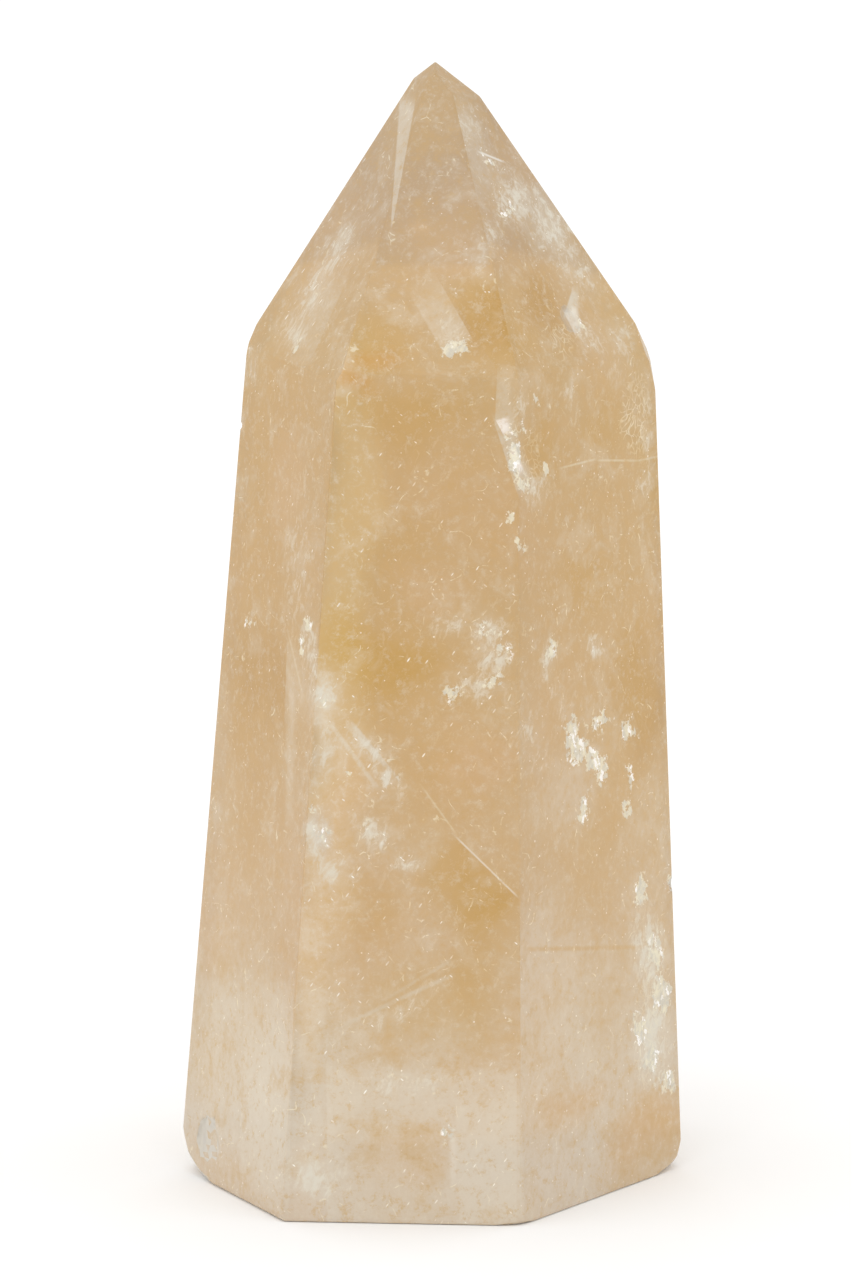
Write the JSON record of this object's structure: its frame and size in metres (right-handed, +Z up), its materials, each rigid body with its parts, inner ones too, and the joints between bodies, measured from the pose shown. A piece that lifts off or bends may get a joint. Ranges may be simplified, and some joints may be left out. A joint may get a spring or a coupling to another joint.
{
  "type": "citrine crystal point",
  "caption": "Upright hexagonal point of cloudy amber citrine, polished, tapering to a blunt tip and standing on a flat foot.",
  "frame": {"origin": "on the foot's flat, under the tip", "axes": "+Z up along the crystal to its tip; -Y out of the wide front side; +X to the right as one faces it"},
  "size_m": [0.0447, 0.0416, 0.0999],
  "materials": {
    "citrine": "polished, cloudy and partly see-through, with veils and flecks inside"
  },
  "bodies": {
    "root": {"citrine_point": "citrine"}
  },
  "joints": []
}
